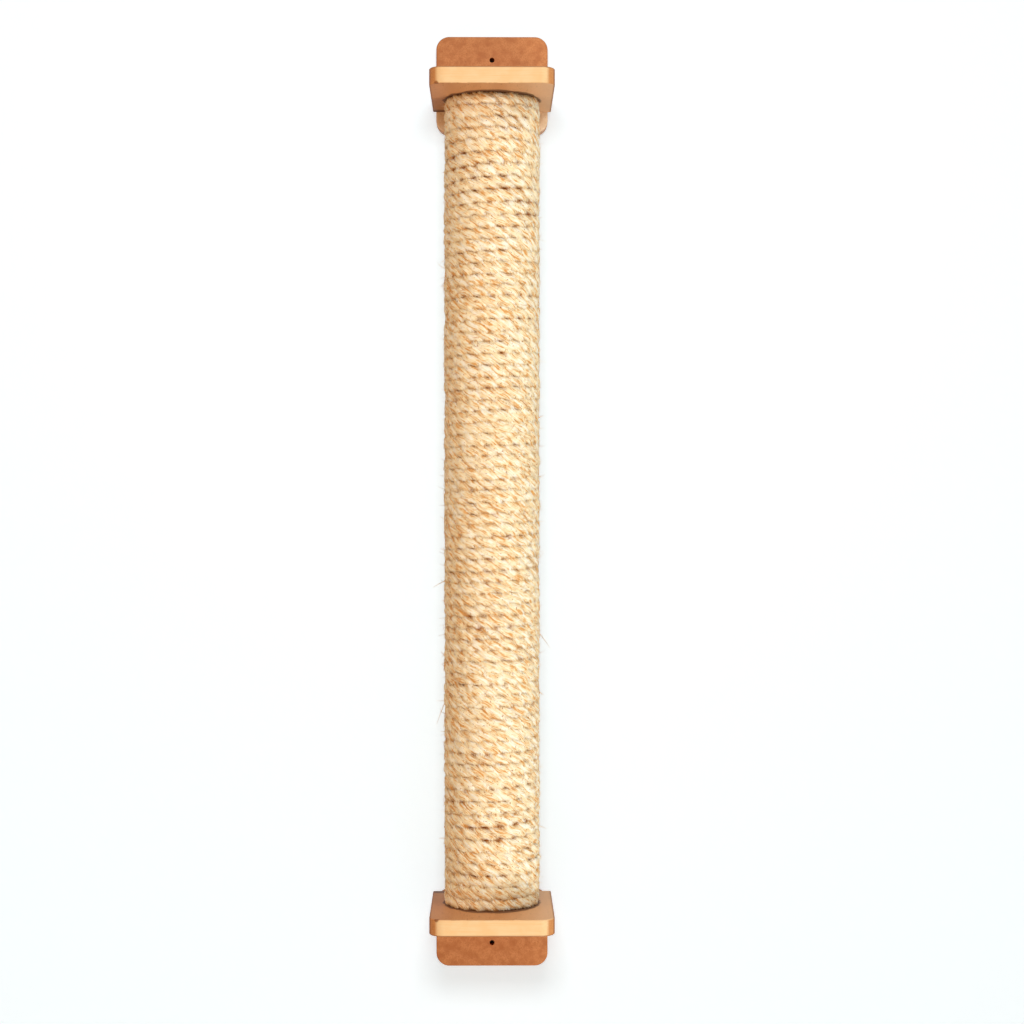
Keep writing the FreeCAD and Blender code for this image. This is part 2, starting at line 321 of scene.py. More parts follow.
def stained_shelf(boards):
    """Fibreboard shelf: stained faces painted paler than the plates' as painted light, corners darker by
    stain and painted shade, and a bare, sanded front edge.

    A point is on a face where it is half a board from the board's middle plane, and on the arris just
    inside that. The front edge is bare as far as its corners, where it turns away from the front. The
    height is taken without its sign, so both shelves have the same marks on the post's side.
    """
    material, tree = blank_material("stained_fibreboard_shelf")
    place = add(tree, "TexCoord", output="Object")
    parts = add(tree, "SeparateXYZ", {0: place}).node.outputs
    left, right = SHELF_LOW.x, SHELF_HIGH.x
    # The stain is wiped on from front to back, so its clouds are 6 times as long that way. The face is
    # painted darker at the left, a painted shade, and paler at the right, a painted light
    wiped = add(tree, "Mapping", {"Vector": place, "Scale": (1, 1 / 6, 1)})
    # Painted light: the faces are painted paler than the plates'
    face, flecks = stain(tree, wiped, boards, boards.painted_light_stain, boards.painted_light_stain_dark)
    for side, share, tone in ((left, 0.35, boards.stained_dark), (right, 0.55, boards.strip_dark)):
        side_shade_and_light = add(tree, "MapRange", {0: parts[0], 1: 0.0, 2: side, 4: share}, **SMOOTH)
        face = add(tree, "Mix", {0: side_shade_and_light, 6: face, 7: tone}, **BLEND)

    # The sanded edge shows the board's layers: 0.9 mm thick and long along the edge
    along_edge = add(tree, "Mapping", {"Vector": place, "Scale": (1 / 30, 1, 1)})
    edge, _ = mottle(tree, along_edge, boards.bare, boards.bare_dark, 0.9 * MM, (0.4, 0.75), share=0.5)
    edge, patches = mottle(tree, place, edge, boards.bare_dark, 13 * MM, (0.35, 0.7), share=0.4)

    # The stain ends where the corners have turned about 2 mm back, with a ragged line. The darker
    # colour there is partly stain and partly painted shade, where the corners turn from the light
    ragged = add(tree, "Math", {0: flecks, 1: 1.4 * MM, 2: parts[1]}, operation="MULTIPLY_ADD")
    stain_from = SHELF_LOW.y + 1.7 * MM
    cornered = add(tree, "MapRange", {0: ragged, 1: stain_from, 2: stain_from + 2.4 * MM}, **SMOOTH)
    corner_stain_and_shade = add(tree, "Mix", {0: flecks, 6: boards.stained_dark, 7: boards.corner_stain_and_shade}, **BLEND)
    edge = add(tree, "Mix", {0: cornered, 6: edge, 7: corner_stain_and_shade}, **BLEND)

    height = add(tree, "Math", {0: parts[2]}, operation="ABSOLUTE")
    off_middle = add(tree, "Math", {0: height, 1: SHELF_MIDDLE}, operation="SUBTRACT")
    off_middle = add(tree, "Math", {0: off_middle}, operation="ABSOLUTE")
    half = BOARD_THICKNESS / 2
    on_face = add(tree, "MapRange", {0: off_middle, 1: half - 0.6 * MM, 2: half - 0.1 * MM}, **SMOOTH)
    finish = add(tree, "Mix", {0: on_face, 6: edge, 7: face}, **BLEND)

    # Stretches of the arris, 20 mm or so long, are painted pale: partly scuffing and partly a painted
    # highlight
    near_arris = add(tree, "MapRange", {0: off_middle, 1: half - 1.1 * MM, 2: half - 0.7 * MM}, **SMOOTH)
    off_face = add(tree, "MapRange", {
        0: off_middle, 1: half - 0.15 * MM, 2: half - 0.05 * MM, 3: 1.0, 4: 0.0})
    rubbed_and_lit = add(tree, "TexNoise", {"Vector": place, "Scale": 1 / (11 * MM), "Detail": 3.0})
    rubbed_and_lit = add(tree, "MapRange", {0: rubbed_and_lit, 1: 0.52, 2: 0.62, 4: 0.8}, **SMOOTH)
    worn_and_highlit = add(tree, "Math", {0: near_arris, 1: rubbed_and_lit}, operation="MULTIPLY")
    worn_and_highlit = add(tree, "Math", {0: worn_and_highlit, 1: off_face}, operation="MULTIPLY")

    # Painted contact shade lies unevenly on the inner face round the post, where the rope meets it.
    # Distances along Y count for less, so it reaches further out at the post's front and back
    inner_side = add(tree, "Math", {0: height, 1: SHELF_MIDDLE}, operation="LESS_THAN")
    squeeze = 0.88
    centred = add(tree, "Mapping", {
        "Vector": place, "Location": (0, -squeeze * AXIS_Y, 0), "Scale": (1, squeeze, 0)})
    from_axis = add(tree, "VectorMath", {0: centred}, output="Value", operation="LENGTH")
    uneven = add(tree, "Math", {0: patches, 1: 7 * MM, 2: from_axis}, operation="MULTIPLY_ADD")
    inner = WINDING_RADIUS + 3.2 * MM
    contact_shade = add(tree, "MapRange", {0: uneven, 1: inner + 2.5 * MM, 2: inner, 4: 0.8}, **SMOOTH)
    contact_shade = add(tree, "Math", {0: contact_shade, 1: inner_side}, operation="MULTIPLY")

    # Painted contact shade also darkens the seam with the wall plate at the left, and painted shade
    # darkens the shelves' sides
    back = SHELF_HIGH.y
    near_back = add(tree, "MapRange", {0: parts[1], 1: back - 16 * MM, 2: back - 7 * MM, 4: 0.8}, **SMOOTH)
    leftmost = add(tree, "MapRange", {0: parts[0], 1: left + 16 * MM, 2: left + 12 * MM}, **SMOOTH)
    joint_shade = add(tree, "Math", {0: near_back, 1: leftmost}, operation="MULTIPLY")
    joint_shade = add(tree, "Math", {0: joint_shade, 1: inner_side}, operation="MULTIPLY")
    # Painted shade: the shelves' sides are darkened in the flecks' colour
    sideways = add(tree, "Math", {0: parts[0]}, operation="ABSOLUTE")
    outside = add(tree, "MapRange", {0: sideways, 1: right - 2.2 * MM, 2: right - 0.8 * MM, 4: 0.75})

    # The arris away from the post is darker, in the flecks' colour
    outer = add(tree, "Math", {0: height, 1: SHELF_MIDDLE + half - 1.4 * MM}, operation="SUBTRACT")
    outer = add(tree, "MapRange", {0: outer, 1: 0.0, 2: 0.5 * MM, 4: 0.7}, **SMOOTH)
    outer = add(tree, "Math", {0: outer, 1: off_face}, operation="MULTIPLY")

    # A knock at the left front corner of each shelf, on the side towards the post
    knock = (left + 7.5 * MM, SHELF_LOW.y + 2.5 * MM, SHELF_LOW.z)
    upright = add(tree, "CombineXYZ", {0: parts[0], 1: parts[1], 2: height})
    away = add(tree, "VectorMath", {0: upright, 1: knock}, output="Value", operation="DISTANCE")
    knocked = add(tree, "MapRange", {0: away, 1: 3.4 * MM, 2: 1.6 * MM, 4: 0.9}, **SMOOTH)

    marks = (
        (worn_and_highlit, boards.wear_and_highlight), (contact_shade, boards.contact_shade), (joint_shade, boards.contact_shade),
        (outside, boards.fleck), (outer, boards.fleck), (knocked, boards.fleck),
    )
    for share, tone in marks:
        finish = add(tree, "Mix", {0: share, 6: finish, 7: tone}, **BLEND)
    finish_surface(tree, finish, flecks, BOARD_RELIEF, BOARD_GLOSS)
    return material


def stained_plate(boards):
    """Fibreboard wall plate: brown and mottled with stain, and painted pale between the shelves as painted
    light where the shelves shade it.
    """
    material, tree = blank_material("stained_fibreboard_plate")
    place = add(tree, "TexCoord", output="Object")
    parts = add(tree, "SeparateXYZ", {0: place}).node.outputs
    thick, flecks = stain(tree, place, boards, boards.stained, boards.stained_dark)
    painted_light_stain, _ = stain(tree, place, boards, boards.strip, boards.strip_dark)
    height = add(tree, "Math", {0: parts[2]}, operation="ABSOLUTE")
    # Painted light: between the shelves, where they shade the plate, it is painted pale
    past_shelf_face = add(tree, "MapRange", {0: height, 1: SHELF_LOW.z, 2: SHELF_LOW.z + 1 * MM})
    finish = add(tree, "Mix", {0: past_shelf_face, 6: painted_light_stain, 7: thick}, **BLEND)
    # The stain has soaked deeper into the sawn edges and the screw hole
    depth = add(tree, "MapRange", {0: parts[1], 1: PLATE_FRONT + 0.2 * MM, 2: PLATE_FRONT + 0.9 * MM})
    soaked = add(tree, "Math", {0: depth, 1: 0.7}, operation="MULTIPLY")
    finish = add(tree, "Mix", {0: soaked, 6: finish, 7: boards.stained_dark}, **BLEND)
    finish_surface(tree, finish, flecks, BOARD_RELIEF, BOARD_GLOSS)
    return material


def kraft_tube(core):
    """Kraft paper, wound spirally and glued: matt brown with fibres and a darker overlap line."""
    material, tree = blank_material("kraft_paper_tube")
    place = add(tree, "TexCoord", output="Object")
    centred = add(tree, "Mapping", {"Vector": place, "Location": (0, -AXIS_Y, 0)})
    parts = add(tree, "SeparateXYZ", {0: centred}).node.outputs
    angle = add(tree, "Math", {0: parts[1], 1: parts[0]}, operation="ARCTAN2")
    climb = add(tree, "Math", {0: parts[2], 1: core.paper_strip}, operation="DIVIDE")
    phase = add(tree, "Math", {0: angle, 1: 1 / (2 * math.pi), 2: climb}, operation="MULTIPLY_ADD")
    phase = add(tree, "Math", {0: phase}, operation="FRACT")
    seam = add(tree, "MapRange", {0: phase, 1: 0.0, 2: 0.02, 3: 0.6, 4: 0.0}, **SMOOTH)
    along = add(tree, "Mapping", {"Vector": place, "Scale": (1, 1, 1 / 3)})
    dark = core.paper_dark
    paper, pulp = mottle(tree, along, core.paper, dark, 1.2 * MM, (0.4, 0.7), detail=3.0, share=0.6)
    paper = add(tree, "Mix", {0: seam, 6: paper, 7: dark}, **BLEND)
    finish_surface(tree, paper, pulp, 0.05 * MM, {"Roughness": 0.85})
    return material


HEART = (-21 * MM, AXIS_Y - 13 * MM)     # middle of the tree that the plugs were cut from


def turned_pine(core):
    """Pine, turned to a disc: year rings of pale early and darker late wood, about a heart off the axis."""
    material, tree = blank_material("turned_pine")
    place = add(tree, "TexCoord", output="Object")
    heart = add(tree, "Mapping", {"Vector": place, "Location": (-HEART[0], -HEART[1], 0)})
    # A wave's ring is a twentieth of its unit wide
    rings = add(tree, "TexWave", {"Vector": heart, "Scale": 1 / (20 * core.year_ring), "Distortion": 1.5},
                output="Fac", wave_type="RINGS", rings_direction="Z", wave_profile="SAW")
    along = add(tree, "Mapping", {"Vector": place, "Scale": (1, 1, 1 / 10)})
    late = add(tree, "MapRange", {0: rings, 1: 0.35, 2: 0.95}, **SMOOTH)
    wood = add(tree, "Mix", {0: late, 6: core.early_wood, 7: core.late_wood}, **BLEND)
    wood, pores = mottle(tree, along, wood, core.late_wood, 0.6 * MM, (0.5, 0.8), share=0.4)
    finish_surface(tree, wood, pores, 0.08 * MM, {"Roughness": 0.7})
    return material


def plated_steel(name, bright, dull, spangle, roughness):
    """Zinc on steel, from a bath: cool grey metal in faint patches, scuffed where it was driven."""
    material, tree = blank_material(name)
    place = add(tree, "TexCoord", output="Object")
    metal, _ = mottle(tree, place, bright, dull, spangle, (0.4, 0.7))
    scuffs = add(tree, "TexNoise", {"Vector": place, "Scale": 1 / (0.5 * MM), "Detail": 3.0})
    scuffed = add(tree, "MapRange", {0: scuffs, 1: 0.3, 2: 0.8, 3: roughness - 0.08, 4: roughness + 0.15})
    finish_surface(tree, metal, scuffs, 0.02 * MM, {"Metallic": 1.0, "Roughness": scuffed})
    return material


# ---- Making pieces ----

def new_piece(name, points, faces, material):
    """A smooth mesh at the origin that rides on the body, from an array of points and a list of faces."""
    mesh = bpy.data.meshes.new(name)
    mesh.from_pydata(points.tolist(), [], faces)
    mesh.shade_smooth()
    mesh.materials.append(material)
    piece = bpy.data.objects.new(name, mesh)
    bpy.context.scene.collection.objects.link(piece)
    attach(piece, BODY)
    return piece


def dress(nodes, material):
    """Give CAD nodes a material in place of the one they came with."""
    for name in nodes:
        materials = frame["nodes"][name].data.materials
        materials.clear()
        materials.append(material)


def point_attribute(piece, name, kind, field, values):
    """Give each point of a piece a value that its material reads."""
    attribute = piece.data.attributes.new(name, kind, "POINT")
    attribute.data.foreach_set(field, np.asarray(values, np.float32).ravel())


def unit(vectors):
    """The same vectors with a length of 1."""
    return vectors / np.linalg.norm(vectors, axis=-1, keepdims=True)


def wander(places, wavelength, seed):
    """Smooth noise from -1 to 1 along a line: random values one wavelength apart, joined by cosines."""
    first = int(np.floor(places.min() / wavelength))
    last = int(np.ceil(places.max() / wavelength)) + 1
    knots = np.random.default_rng(seed).uniform(-1, 1, last - first + 1)
    position = places / wavelength - first
    index = np.floor(position).astype(int)
    share = (1 - np.cos(np.pi * (position - index))) / 2
    return knots[index] * (1 - share) + knots[index + 1] * share


def tube_faces(rings, sides):
    """Quads of a tube over rings of points, numbered ring by ring, as an array."""
    ring = np.arange(rings - 1)[:, None] * sides
    here = np.arange(sides)[None, :]
    after = (here + 1) % sides
    return np.stack([ring + here, ring + after, ring + sides + after, ring + sides + here], -1).reshape(-1, 4)


# ---- Rope ----

FIRST_CLIMB = 0.14       # share of the first turn in which the rope climbs onto the second turn
SPREAD_TURNS = 14.0      # turns over which that climb spreads out to an even helix
BLEND_FROM = 12.0        # first and last turn of the even middle of the post
KINK_TURNS = 0.03        # the climbs' corners are rounded over this share of a turn
SAMPLES_PER_TURN = 200
SKIN_GAP = 0.05 * MM     # between the rope and what it presses on
STRANDS = 3
TURN_LENGTH = 2 * math.pi * COIL_RADIUS

# Lengths of rope over which something wanders, in metres
HEIGHT_WAVE = 0.11       # a turn's height
DEPTH_WAVE = 0.05        # how deep a turn lies
LONG_DRIFT = 0.9         # the lay
SHORT_DRIFT = 0.06
SWELL_WAVE = 0.017       # a strand's thickness

SWELL = 0.12             # share by which a strand's thickness changes
FIBRE_LEAN = 0.33        # share of the strand's slant that its fibres lean back
CREST_FROM = 0.45        # share of the winding's depth below which the crest is 0
CUT_CREST = 0.4          # crest given to the cut ends
PATH_STEP = 20.0         # keeps the strands' fibre paths apart, so that their streaks differ
ROW_MARGIN = 0.04        # share of a row in the UV map that stays free at each side


def rope_lay(rope):
    """Length of rope in which a strand goes once round it.

    A whole number of strands fills each turn, so the strands of neighbouring turns lie under each
    other and join into slanting lines over the post.
    """
    return STRANDS * TURN_LENGTH / rope.strands_per_turn


def climbed(turns):
    """Pitches climbed after some turns from a cut end.

    Each turn lies level and then climbs by one pitch just before it reaches the place above the cut
    end. The climb's share of the turn grows with the turns until the rope is an even helix.
    """
    whole = np.floor(turns)
    ease = np.clip(turns / SPREAD_TURNS, 0, 1)
    share = FIRST_CLIMB + (1 - FIRST_CLIMB) * ease * ease * (3 - 2 * ease)
    return whole + np.clip((turns - whole - 1 + share) / share, 0, 1)


def winding_turns(rope):
    """Turns from the wall side at which the rope starts and ends: a little outside its two staples."""
    lap = rope.end_lap / TURN_LENGTH
    return -lap, POST_TURNS + lap


def winding_height(turns, rope):
    """Height of the rope's centre at a number of turns from the lower staple, even at both ends.

    From each cut end it follows `climbed`, and the two meet in a blend over the post's middle.
    """
    start, end = winding_turns(rope)
    from_foot = climbed(turns - start)
    from_top = POST_TURNS - 1 - climbed(end - turns)
    share = np.clip((turns - BLEND_FROM) / (POST_TURNS - 2 * BLEND_FROM), 0, 1)
    pitches = from_foot * (1 - share) + from_top * share
    return ROPE_DIAMETER * (pitches - (POST_TURNS - 1) / 2)


def rope_centre(rope):
    """Distances, places, directions and outward directions along the rope's centre, in equal steps.

    The centre is a circle of the tube's radius plus half a rope, at the height that `winding_height`
    gives, and its corners are rounded. Height and radius wander a little, but the height doesn't at
    the cut ends. It starts at the wall side and goes round to the right at the front.
    """
    start, end = winding_turns(rope)
    turns = np.linspace(start, end, int((end - start) * SAMPLES_PER_TURN))
    height = winding_height(turns, rope)
    kernel = np.hanning(int(2 * KINK_TURNS * SAMPLES_PER_TURN) + 2)
    margin = len(kernel) // 2
    padded = np.pad(height, margin, mode="edge")
    height = np.convolve(padded, kernel / kernel.sum(), mode="same")[margin:-margin]
    arc = TURN_LENGTH * (turns - start)
    quiet = np.clip(np.minimum(turns - start, end - turns) - 0.5, 0, 1)
    height = height + rope.turn_wander * quiet * wander(arc, HEIGHT_WAVE, 11)
    radius = COIL_RADIUS + rope.turn_wander * wander(arc, DEPTH_WAVE, 12)

    steps = int(arc[-1] / rope_lay(rope) * rope.rings_per_lay)
    even = np.linspace(0, arc[-1], steps)
    angle = math.pi / 2 + 2 * math.pi * np.interp(even, arc, turns)
    outward = np.stack([np.cos(angle), np.sin(angle), np.zeros(steps)], 1)
    centre = outward * np.interp(even, arc, radius)[:, None]
    centre[:, 1] += AXIS_Y
    centre[:, 2] = np.interp(even, arc, height)
    return even, centre, unit(np.gradient(centre, axis=0)), outward


def strand_grid(rope, index):
    """Grid of points (along, round) on one strand, with what its material and its fibres need.

    The strand's centre goes round the rope's centre once per lay, at the rope's radius less its own.
    It drifts ahead and behind, and lingers at the outer and the inner side. A ring of points goes
    round it, with point 0 away from the rope's centre. The rope's round section is then pressed
    towards a square: its radius is divided by the squareness-norm of its direction. Its flanks are
    widened along the post, into the turns above and below, and it is held between the tube, the
    shelves and a little above the winding's crest.
    """
    lay = rope_lay(rope)
    distance, centre, forward, outward = rope_centre(rope)
    side = np.cross(forward, outward)
    strand_radius = rope.strand / 2
    orbit = ROPE_RADIUS - strand_radius
    drift = rope.lay_drift * (wander(distance, LONG_DRIFT, 21) + 0.8 * wander(distance, SHORT_DRIFT, 22))
    turn = 2 * math.pi * (distance / lay + index / STRANDS) + drift
    turn = turn - rope.linger * np.sin(2 * turn)
    away = np.cos(turn)[:, None] * outward + np.sin(turn)[:, None] * side
    line = centre + orbit * away
    ahead = unit(np.gradient(line, axis=0))
    away = unit(away - (away * ahead).sum(1, keepdims=True) * ahead)
    beside = np.cross(ahead, away)

    around = 2 * math.pi * np.arange(rope.ring_sides) / rope.ring_sides
    lumps = np.random.default_rng(30 + index).uniform(-1, 1, (len(line), rope.ring_sides))
    lumps = (lumps + np.roll(lumps, 1, 0) + np.roll(lumps, 1, 1)) / 3
    radius = strand_radius * (1.0 + SWELL * wander(distance, SWELL_WAVE, 40 + index))
    radius = radius[:, None] + rope.roughness_depth * lumps
    ring = np.cos(around)[None, :, None] * away[:, None] + np.sin(around)[None, :, None] * beside[:, None]
    offset = line[:, None] - centre[:, None] + radius[:, :, None] * ring

    out_part = (offset * outward[:, None]).sum(-1)
    side_part = (offset * side[:, None]).sum(-1)
    reach = np.hypot(out_part, side_part)
    power = rope.squareness
    norm = ((np.abs(out_part) / reach) ** power + (np.abs(side_part) / reach) ** power) ** (1 / power)
    gain = 1 / norm - 1
    widened = gain + (rope.press - 1) * (side_part / reach) ** 2
    pressed = (gain * out_part)[..., None] * outward[:, None]
    pressed = pressed + (widened * side_part)[..., None] * side[:, None]
    points = centre[:, None] + offset + pressed

    flat = points[..., :2] - (0, AXIS_Y)
    from_axis = np.linalg.norm(flat, axis=-1, keepdims=True)
    held = np.clip(from_axis, TUBE_RADIUS + SKIN_GAP, WINDING_RADIUS + rope.roughness_depth)
    points[..., :2] = flat / from_axis * held + (0, AXIS_Y)
    points[..., 2] = np.clip(points[..., 2], -POST_HALF + SKIN_GAP, POST_HALF - SKIN_GAP)
    crest = ((held[..., 0] - TUBE_RADIUS) / ROPE_DIAMETER - CREST_FROM) / (1 - CREST_FROM)

    # Fibres lean back from the strand's own slant towards the rope's direction
    lean = -FIBRE_LEAN * (2 * math.pi / lay) * orbit / strand_radius
    fibre_angle = around[None, :] - lean * distance[:, None]
    fibre_path = np.stack([
        strand_radius * np.cos(fibre_angle),
        strand_radius * np.sin(fibre_angle),
        np.broadcast_to(distance[:, None] + PATH_STEP * index, fibre_angle.shape),
    ], -1)
    return points, ahead, fibre_path, np.clip(crest, 0, 1)


def strand_map(piece, rings, rope):
    """A UV map that folds the strand's long narrow skin into rows, so that it fills a square."""
    sides = rope.ring_sides
    girth = math.pi * rope.strand
    total = rings / rope.rings_per_lay * rope_lay(rope)
    rows = max(1, round(math.sqrt(total / girth)))
    per_row = math.ceil(rings / rows)
    loops = np.zeros(len(piece.data.loops), np.int32)
    piece.data.loops.foreach_get("vertex_index", loops)
    starts = np.zeros(len(piece.data.polygons), np.int32)
    totals = np.zeros(len(piece.data.polygons), np.int32)
    piece.data.polygons.foreach_get("loop_start", starts)
    piece.data.polygons.foreach_get("loop_total", totals)
    face_of = np.repeat(np.arange(len(starts)), totals)
    ring = loops // sides
    side = loops % sides
    # The last quad round the strand runs on to the next whole number, not back to 0
    wraps = (np.maximum.reduceat(side, starts) == sides - 1) & (np.minimum.reduceat(side, starts) == 0)
    side = np.where(wraps[face_of] & (side == 0), sides, side)
    row = np.minimum(np.minimum.reduceat(ring, starts)[face_of] // per_row, rows - 1)
    u = (ring - row * per_row) / per_row
    v = (row + ROW_MARGIN + (1 - 2 * ROW_MARGIN) * side / sides) / rows
    layer = piece.data.uv_layers.new(name="OFBake")
    layer.data.foreach_set("uv", np.clip(np.stack([u, v], 1), 0, 1).astype(np.float32).ravel())


def rope_strand(rope, index, material):
    """One of the rope's strands, from cut end to cut end, with a fan of faces over each end."""
    points, _, fibre_path, crest = strand_grid(rope, index)
    rings, sides = crest.shape
    here = np.arange(sides)
    after = (here + 1) % sides
    first = rings * sides
    last = first + 1
    foot = np.stack([np.full(sides, first), after, here], 1)
    head = np.stack([np.full(sides, last), first - sides + here, first - sides + after], 1)
    faces = tube_faces(rings, sides).tolist() + foot.tolist() + head.tolist()
    everything = np.concatenate([points.reshape(-1, 3), points[[0, -1]].mean(1)])
    piece = new_piece(f"rope_strand_{index + 1}", everything, faces, material)
    paths = np.concatenate([fibre_path.reshape(-1, 3), fibre_path[[0, -1]].mean(1)])
    point_attribute(piece, "fibre_path", "FLOAT_VECTOR", "vector", paths)
    point_attribute(piece, "crest", "FLOAT", "value", np.append(crest.ravel(), [CUT_CREST] * 2))
    strand_map(piece, rings, rope)
    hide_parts("rope_winding")


# ---- Loose fibres ----

FIBRE_SIDES = 3
TIP = 0.3                # thickness at a fibre's tip, as a share of its thickness at the root
PALE_SHARE = 1.4         # the higher, the more fibres are pale
ROOT_CREST = 0.6         # fibres are rooted where the crest is higher

# Longer fibres that stand out at the post's sides, from top to bottom: the root's height, the side,
# and how far the fibre reaches outwards and rises, in millimetres
STRAYS = (
    (-83, -1, 13.0, -5.0),
    (-103, -1, 3.6, -0.5),
    (-137, 1, 12.0, -14.0),
    (-162, -1, 4.6, 6.0),
    (-199, 1, 5.5, -3.0),
    (-209, -1, 9.0, -21.0),
    (-285, 1, 4.0, 1.0),
    (-340, 1, 8.0, -2.0),
    (-353, -1, 6.5, 1.0),
    (88, 1, 5.0, 3.5),
    (231, -1, 4.5, -5.0),
)


def fibre_piece(name, roots, leave, bend, lengths, points_each, fibres, material, seed,
                palest=1.0, thicker=1.0):
    """Thin three-sided fibres from their roots, as one mesh, in shades from brown up to the palest.

    Each is a parabola: root + length * (t * leave + t * t / 2 * bend), with t from 0 to 1. A ring of
    three points stands across it at each step, and it tapers towards its tip.
    """
    number = len(roots)
    step = np.linspace(0, 1, points_each)[None, :, None]
    line = roots[:, None] + lengths[:, None, None] * (step * leave[:, None] + step ** 2 / 2 * bend[:, None])
    ahead = unit(leave[:, None] + step * bend[:, None])
    across = unit(np.cross(ahead, np.roll(ahead, 1, -1) + 0.01))
    upright = np.cross(ahead, across)
    around = (2 * math.pi / FIBRE_SIDES * np.arange(FIBRE_SIDES))[None, None, :, None]
    radius = thicker * fibres.thickness / 2 * np.linspace(1, TIP, points_each)[None, :, None, None]
    ring = np.cos(around) * across[:, :, None] + np.sin(around) * upright[:, :, None]
    points = line[:, :, None] + radius * ring

    per_fibre = points_each * FIBRE_SIDES
    shift = (np.arange(number) * per_fibre)[:, None, None]
    walls = (tube_faces(points_each, FIBRE_SIDES)[None] + shift).reshape(-1, 4)
    tip = per_fibre - FIBRE_SIDES
    ends = (np.array([[2, 1, 0], [tip, tip + 1, tip + 2]])[None] + shift).reshape(-1, 3)
    piece = new_piece(name, points.reshape(-1, 3), walls.tolist() + ends.tolist(), material)
    shades = palest * np.random.default_rng(seed).power(PALE_SHARE, number)
    point_attribute(piece, "shade", "FLOAT", "value", np.repeat(shades, per_fibre))


def fibre_roots(rope, number, rng):
    """Random places on the outside of the rope, with the strand's direction and the outward one."""
    places, along = [], []
    for index in range(STRANDS):
        points, ahead, _, crest = strand_grid(rope, index)
        rows, columns = np.nonzero(crest > ROOT_CREST)
        chosen = rng.choice(len(rows), number // STRANDS, replace=False)
        places.append(points[rows[chosen], columns[chosen]])
        along.append(ahead[rows[chosen]])
    places = np.concatenate(places)
    outward = unit((places - (0, AXIS_Y, 0)) * (1, 1, 0))
    return places, np.concatenate(along), outward


def fibre_lengths(fibres, roots, rng):
    """Fibre lengths, mostly short, and shorter still where a shelf is near."""
    room = np.clip((POST_HALF - np.abs(roots[:, 2])) / fibres.longest, 0.15, 1)
    return room * (fibres.shortest + (fibres.longest - fibres.shortest) * rng.power(0.7, len(roots)))


def lying_fibres(rope, fibres, material):
    """Fibres that lie over the strands within about 30 degrees of their direction, and arch a little."""
    rng = np.random.default_rng(50)
    roots, along, outward = fibre_roots(rope, fibres.lying, rng)
    number = len(roots)
    across = np.cross(outward, along)
    slant = rng.normal(0.1, 0.5, (number, 1))
    lift = rng.uniform(0.1, 0.35, (number, 1))
    leave = unit(np.cos(slant) * along + np.sin(slant) * across + lift * outward)
    leave = leave * rng.choice([-1, 1], (number, 1))
    leave = leave + outward * (lift - (leave * outward).sum(1, keepdims=True))
    bend = -(1.9 * lift + 0.15) * outward + rng.normal(0, 0.4, (number, 1)) * across
    lengths = fibre_lengths(fibres, roots, rng)
    fibre_piece("lying_fibres", roots, leave, bend, lengths, 4, fibres, material, 51)


def standing_fibres(rope, fibres, material):
    """Fibres that stand off the rope at all angles and droop."""
    rng = np.random.default_rng(60)
    roots, along, outward = fibre_roots(rope, fibres.standing, rng)
    number = len(roots)
    leave = unit(along * rng.uniform(-1, 1, (number, 1)) + outward * rng.uniform(0.3, 0.9, (number, 1))
                 + rng.normal(0, 0.25, (number, 3)))
    bend = rng.normal(0, 0.5, (number, 3)) - 0.3 * outward
    lengths = 0.8 * fibre_lengths(fibres, roots, rng)
    fibre_piece("standing_fibres", roots, leave, bend, lengths, 5, fibres, material, 61)


def stray_fibres(fibres, material):
    """The longer brown fibres that stand out at the post's sides and sag."""
    strays = np.array(STRAYS)
    height, sign, reach, rise = strays.T
    level = np.zeros(len(strays))
    roots = np.stack([sign * (WINDING_RADIUS - 1 * MM), level + AXIS_Y, height * MM], 1)
    leave = np.stack([sign * reach * MM, level, rise * MM], 1)
    lengths = np.linalg.norm(leave, axis=1)
    bend = np.stack([level, level - 0.2, level - 0.25], 1)
    fibre_piece("stray_fibres", roots, unit(leave), bend, lengths, 6, fibres, material, 62,
                palest=0.6, thicker=1.7)


def frayed_ends(rope, fibres, material):
    """Fibres that spread from the strands' cut faces at both ends of the rope."""
    rng = np.random.default_rng(70)
    roots, leave = [], []
    for index in range(STRANDS):
        points, ahead, _, _ = strand_grid(rope, index)
        for end, sign in ((0, -1), (-1, 1)):
            number = fibres.frayed // STRANDS
            shares = rng.dirichlet(np.ones(points.shape[1]), number)
            roots.append(shares @ points[end])
            leave.append(sign * ahead[end] + rng.normal(0, 0.35, (number, 3)) * (1, 1, 0.5))
    roots = np.concatenate(roots)
    leave = unit(np.concatenate(leave))
    bend = rng.normal(0, 0.4, roots.shape)
    bend[:, 2] = -np.sign(roots[:, 2]) * np.abs(bend[:, 2])
    leave[:, 2] = -np.sign(roots[:, 2]) * np.abs(leave[:, 2])
    lengths = rng.uniform(0.3, 0.8, len(roots)) * fibres.longest
    fibre_piece("frayed_ends", roots, leave, bend, lengths, 5, fibres, material, 71)


# ---- Stage ----

WALL_GAP = 0.4 * MM                  # between the plates' backs and the wall
STAGE_HALF = 4.5                     # half the width of the wall and the floor, in metres
FLOOR_Z = -1.7
WHITE = (1.0, 1.0, 1.0, 1.0)
CAMERA_TURN = math.radians(0.575)    # the photograph's centre lies right of the post
CAMERA_DIP = math.radians(0.291)     # and below its middle
CAMERA_REACH = (0.05, 50.0)          # nearest and farthest place that it shows, in metres
SENSOR_WIDTH = 36.0                  # in millimetres

